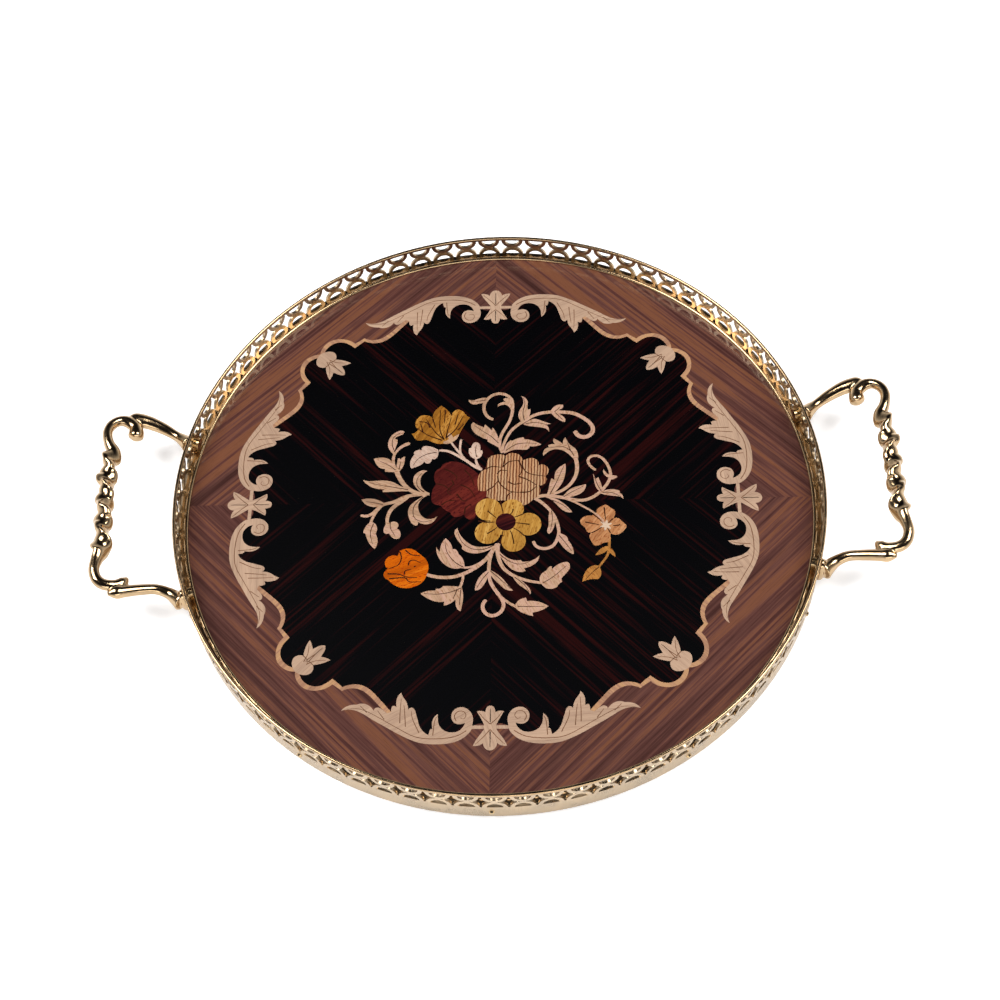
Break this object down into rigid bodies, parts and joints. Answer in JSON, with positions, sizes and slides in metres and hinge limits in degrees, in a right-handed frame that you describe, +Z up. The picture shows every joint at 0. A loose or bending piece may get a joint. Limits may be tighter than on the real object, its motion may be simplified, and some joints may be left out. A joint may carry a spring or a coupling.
{
  "type": "inlaid wood serving tray",
  "caption": "Round serving tray with a floral marquetry panel, a pierced brass gallery round the rim and cast scroll handles.",
  "frame": {"origin": "centre of the brass gallery, on the underside of the panel", "axes": "+Z up from the table; X through the two handles; +Y to the back of the bouquet"},
  "size_m": [0.437, 0.353, 0.0343],
  "materials": {
    "border_back_left": "high-gloss lacquer",
    "border_back_right": "high-gloss lacquer",
    "border_front_left": "high-gloss lacquer",
    "border_front_right": "high-gloss lacquer",
    "core_board": "oiled",
    "field_back_left": "high-gloss lacquer",
    "field_back_right": "high-gloss lacquer",
    "field_front_left": "high-gloss lacquer",
    "field_front_right": "high-gloss lacquer",
    "gallery_back": "polished and lacquered",
    "gallery_front": "polished and lacquered",
    "gallery_pins": "polished and lacquered",
    "handle_left": "polished and lacquered",
    "handle_right": "polished and lacquered",
    "handle_screws": "polished and lacquered",
    "handle_washers": "polished and lacquered",
    "inlay_amber_sprig": "high-gloss lacquer",
    "inlay_carnation": "high-gloss lacquer",
    "inlay_carnation_calyx": "high-gloss lacquer",
    "inlay_flower_eye": "high-gloss lacquer",
    "inlay_left_spray": "high-gloss lacquer",
    "inlay_lower_spray": "high-gloss lacquer",
    "inlay_orange_rose": "high-gloss lacquer",
    "inlay_palmette_back": "high-gloss lacquer",
    "inlay_palmette_front": "high-gloss lacquer",
    "inlay_palmette_left": "high-gloss lacquer",
    "inlay_palmette_right": "high-gloss lacquer",
    "inlay_red_rose": "high-gloss lacquer",
    "inlay_right_spray": "high-gloss lacquer",
    "inlay_scroll_back_a": "high-gloss lacquer",
    "inlay_scroll_back_b": "high-gloss lacquer",
    "inlay_scroll_front_a": "high-gloss lacquer",
    "inlay_scroll_front_b": "high-gloss lacquer",
    "inlay_scroll_left_a": "high-gloss lacquer",
    "inlay_scroll_left_b": "high-gloss lacquer",
    "inlay_scroll_right_a": "high-gloss lacquer",
    "inlay_scroll_right_b": "high-gloss lacquer",
    "inlay_small_flower": "high-gloss lacquer",
    "inlay_small_flower_stamens": "high-gloss lacquer",
    "inlay_straps_back_left": "high-gloss lacquer",
    "inlay_straps_back_right": "high-gloss lacquer",
    "inlay_straps_front_left": "high-gloss lacquer",
    "inlay_straps_front_right": "high-gloss lacquer",
    "inlay_striped_rose": "high-gloss lacquer",
    "inlay_top_spray": "high-gloss lacquer",
    "inlay_tulip_back_left": "high-gloss lacquer",
    "inlay_tulip_back_right": "high-gloss lacquer",
    "inlay_tulip_front_left": "high-gloss lacquer",
    "inlay_tulip_front_right": "high-gloss lacquer",
    "inlay_upper_left_spray": "high-gloss lacquer",
    "inlay_yellow_flower": "high-gloss lacquer",
    "rim_ledge_back": "polished and lacquered",
    "rim_ledge_front": "polished and lacquered",
    "top_rail_back": "polished and lacquered",
    "top_rail_front": "polished and lacquered",
    "underside_veneer": "oiled"
  },
  "bodies": {
    "root": {"border_back_left": "border_back_left", "border_back_right": "border_back_right", "border_front_left": "border_front_left", "border_front_right": "border_front_right", "core_board": "core_board", "field_back_left": "field_back_left", "field_back_right": "field_back_right", "field_front_left": "field_front_left", "field_front_right": "field_front_right", "gallery_back": "gallery_back", "gallery_front": "gallery_front", "gallery_pins": "gallery_pins", "handle_left": "handle_left", "handle_right": "handle_right", "handle_screws": "handle_screws", "handle_washers": "handle_washers", "inlay_amber_sprig": "inlay_amber_sprig", "inlay_carnation": "inlay_carnation", "inlay_carnation_calyx": "inlay_carnation_calyx", "inlay_flower_eye": "inlay_flower_eye", "inlay_left_spray": "inlay_left_spray", "inlay_lower_spray": "inlay_lower_spray", "inlay_orange_rose": "inlay_orange_rose", "inlay_palmette_back": "inlay_palmette_back", "inlay_palmette_front": "inlay_palmette_front", "inlay_palmette_left": "inlay_palmette_left", "inlay_palmette_right": "inlay_palmette_right", "inlay_red_rose": "inlay_red_rose", "inlay_right_spray": "inlay_right_spray", "inlay_scroll_back_a": "inlay_scroll_back_a", "inlay_scroll_back_b": "inlay_scroll_back_b", "inlay_scroll_front_a": "inlay_scroll_front_a", "inlay_scroll_front_b": "inlay_scroll_front_b", "inlay_scroll_left_a": "inlay_scroll_left_a", "inlay_scroll_left_b": "inlay_scroll_left_b", "inlay_scroll_right_a": "inlay_scroll_right_a", "inlay_scroll_right_b": "inlay_scroll_right_b", "inlay_small_flower": "inlay_small_flower", "inlay_small_flower_stamens": "inlay_small_flower_stamens", "inlay_straps_back_left": "inlay_straps_back_left", "inlay_straps_back_right": "inlay_straps_back_right", "inlay_straps_front_left": "inlay_straps_front_left", "inlay_straps_front_right": "inlay_straps_front_right", "inlay_striped_rose": "inlay_striped_rose", "inlay_top_spray": "inlay_top_spray", "inlay_tulip_back_left": "inlay_tulip_back_left", "inlay_tulip_back_right": "inlay_tulip_back_right", "inlay_tulip_front_left": "inlay_tulip_front_left", "inlay_tulip_front_right": "inlay_tulip_front_right", "inlay_upper_left_spray": "inlay_upper_left_spray", "inlay_yellow_flower": "inlay_yellow_flower", "rim_ledge_back": "rim_ledge_back", "rim_ledge_front": "rim_ledge_front", "top_rail_back": "top_rail_back", "top_rail_front": "top_rail_front", "underside_veneer": "underside_veneer"}
  },
  "joints": []
}
